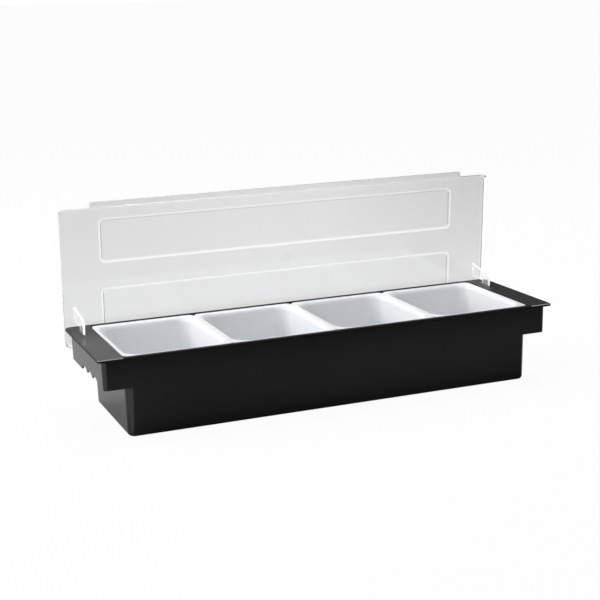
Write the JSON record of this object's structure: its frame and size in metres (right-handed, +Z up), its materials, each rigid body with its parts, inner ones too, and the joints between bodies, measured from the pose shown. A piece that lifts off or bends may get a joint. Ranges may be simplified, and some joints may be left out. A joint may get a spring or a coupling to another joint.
{
  "type": "condiment caddy",
  "caption": "Long black bar caddy with end wings, lift-out white inserts and one clear full-width lid hinged along the back.",
  "frame": {"origin": "middle of the tub's flat underside, midway between the rim's edges in X and Y", "axes": "+X to the right along the tub, +Y to the back where the lid is hinged, +Z up"},
  "size_m": [0.495, 0.1503, 0.21],
  "materials": {
    "black_plastic": "satin",
    "white_plastic": "gloss",
    "clear_plastic": "gloss"
  },
  "bodies": {
    "tub": {"base": "black_plastic"},
    "insert_body_1": {"insert_1": "white_plastic"},
    "insert_body_2": {"insert_2": "white_plastic"},
    "insert_body_3": {"insert_3": "white_plastic"},
    "insert_body_4": {"insert_4": "white_plastic"},
    "lid_body": {"lid": "clear_plastic", "hinge_arm_left": "clear_plastic", "hinge_arm_right": "clear_plastic"}
  },
  "joints": [
    {"name": "lid_hinge", "type": "hinge", "parent": "tub", "child": "lid_body", "pos_m": [0, 0.0595, 0.0717], "axis": [-1, 0, 0], "range_deg": [-86.8, 0]},
    {"name": "insert_lift_1", "type": "slide", "parent": "tub", "child": "insert_body_1", "axis": [0, 0, 1], "range_m": [0, 0.085]},
    {"name": "insert_lift_2", "type": "slide", "parent": "tub", "child": "insert_body_2", "axis": [0, 0, 1], "range_m": [0, 0.085]},
    {"name": "insert_lift_3", "type": "slide", "parent": "tub", "child": "insert_body_3", "axis": [0, 0, 1], "range_m": [0, 0.085]},
    {"name": "insert_lift_4", "type": "slide", "parent": "tub", "child": "insert_body_4", "axis": [0, 0, 1], "range_m": [0, 0.085]}
  ]
}
